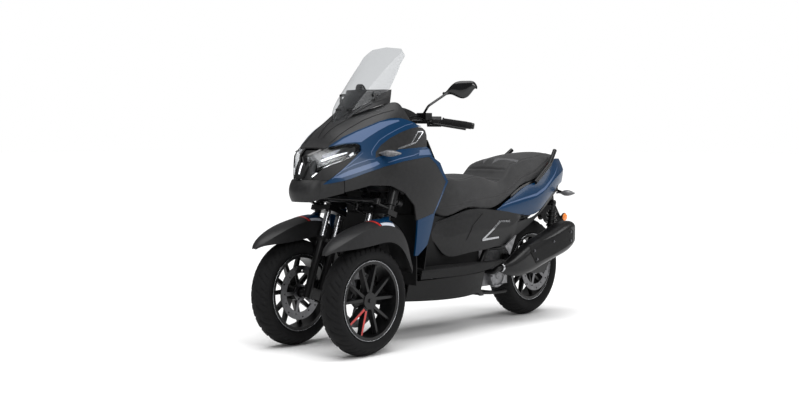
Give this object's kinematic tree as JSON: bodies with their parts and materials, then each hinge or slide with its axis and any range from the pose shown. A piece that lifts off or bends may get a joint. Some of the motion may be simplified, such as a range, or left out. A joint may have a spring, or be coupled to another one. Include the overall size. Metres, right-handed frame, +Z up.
{
  "type": "reverse trike scooter",
  "caption": "Leaning reverse trike scooter with paired steered front wheels, a driven rear wheel, tall screen, stepped seat over a bin and a muffler at the side",
  "frame": {"origin": "bottom centre of the bounding box, on the ground under the middle of the vehicle", "axes": "+X forward, +Y to the rider's left, +Z up"},
  "size_m": [2.2486, 0.815, 1.4698],
  "materials": {
    "blue_paint": "gloss",
    "dark_plastic": "satin",
    "black_plastic": "matte",
    "gloss_black": "gloss",
    "tyre": "rubber",
    "black_metal": "satin",
    "steel": "brushed",
    "aluminium": "cast",
    "screen": "clear",
    "lens": "clear",
    "red_lens": "gloss",
    "seat_cover": "soft grain",
    "rubber": "matte",
    "smoked_lens": "smoked"
  },
  "bodies": {
    "chassis": {"frame": "black_metal", "lean_linkage": "black_metal", "front_cowl": "dark_plastic", "nose": "dark_plastic", "headlamp_lenses": "lens", "headlamp_housings": "gloss_black", "front_side_panels": "blue_paint", "leg_shield_sides": "dark_plastic", "leg_shield_edges": "blue_paint", "inner_shield": "black_plastic", "windscreen": "screen", "turn_signals": "smoked_lens", "foot_boards": "black_plastic", "undertray": "black_plastic", "side_covers": "dark_plastic", "tail_panels": "blue_paint", "tail_lamp": "red_lens", "storage_bin": "black_plastic", "grab_rails": "black_metal", "engine": "aluminium", "swing_unit": "black_metal", "exhaust": "black_metal", "rear_shocks": "black_metal", "rear_fender": "black_plastic", "footrests": "aluminium"},
    "steering": {"handlebar": "black_metal", "grips": "rubber", "handlebar_cover": "black_plastic", "mirrors": "gloss_black"},
    "tie_rod": {"tie_rod": "black_metal"},
    "knuckle_left": {"front_left_fork": "black_metal", "front_left_fender": "dark_plastic", "front_left_caliper": "black_metal"},
    "wheel_left": {"front_left_tyre": "tyre", "front_left_rim": "black_metal", "front_left_disc": "steel"},
    "knuckle_right": {"front_right_fork": "black_metal", "front_right_fender": "dark_plastic", "front_right_caliper": "black_metal"},
    "wheel_right": {"front_right_tyre": "tyre", "front_right_rim": "black_metal", "front_right_disc": "steel"},
    "wheel_rear": {"rear_tyre": "tyre", "rear_rim": "black_metal", "rear_disc": "steel"},
    "seat": {"seat": "seat_cover"},
    "centre_stand": {"centre_stand": "black_metal"}
  },
  "joints": [
    {"name": "steering_turn", "type": "hinge", "parent": "chassis", "child": "steering", "pos_m": [0.49175, 0, 0.84861], "axis": [-0.342, 0, 0.9397], "range_deg": [-30, 30]},
    {"name": "tie_rod_swing", "type": "hinge", "parent": "steering", "child": "tie_rod", "pos_m": [0.65251, 0, 0.6847], "axis": [-0.342, 0, 0.9397], "range_deg": [-30, 30]},
    {"name": "kingpin_left", "type": "hinge", "parent": "chassis", "child": "knuckle_left", "pos_m": [0.6477, 0.235, 0.75638], "axis": [-0.342, 0, 0.9397], "range_deg": [-30, 30]},
    {"name": "wheel_left_spin", "type": "hinge", "parent": "knuckle_left", "child": "wheel_left", "pos_m": [0.855, 0.235, 0.262], "axis": [0, 1, 0], "continuous": true},
    {"name": "kingpin_right", "type": "hinge", "parent": "chassis", "child": "knuckle_right", "pos_m": [0.6477, -0.235, 0.75638], "axis": [-0.342, 0, 0.9397], "range_deg": [-30, 30]},
    {"name": "wheel_right_spin", "type": "hinge", "parent": "knuckle_right", "child": "wheel_right", "pos_m": [0.855, -0.235, 0.262], "axis": [0, 1, 0], "continuous": true},
    {"name": "wheel_rear_spin", "type": "hinge", "parent": "chassis", "child": "wheel_rear", "pos_m": [-0.74, 0, 0.276], "axis": [0, 1, 0], "continuous": true},
    {"name": "seat_lift", "type": "hinge", "parent": "chassis", "child": "seat", "pos_m": [0.193, 0, 0.606], "axis": [0, 1, 0], "range_deg": [0, 45]},
    {"name": "centre_stand_swing", "type": "hinge", "parent": "chassis", "child": "centre_stand", "pos_m": [-0.175, 0, 0.186], "axis": [0, -1, 0], "range_deg": [0, 92], "stiffness_Nm_per_rad": 3, "springref_deg": -85.94}
  ],
  "couplings": [
    {"joint": "kingpin_left", "follows": "steering_turn", "ratio": 1},
    {"joint": "kingpin_right", "follows": "steering_turn", "ratio": 1},
    {"joint": "tie_rod_swing", "follows": "steering_turn", "ratio": -1}
  ]
}
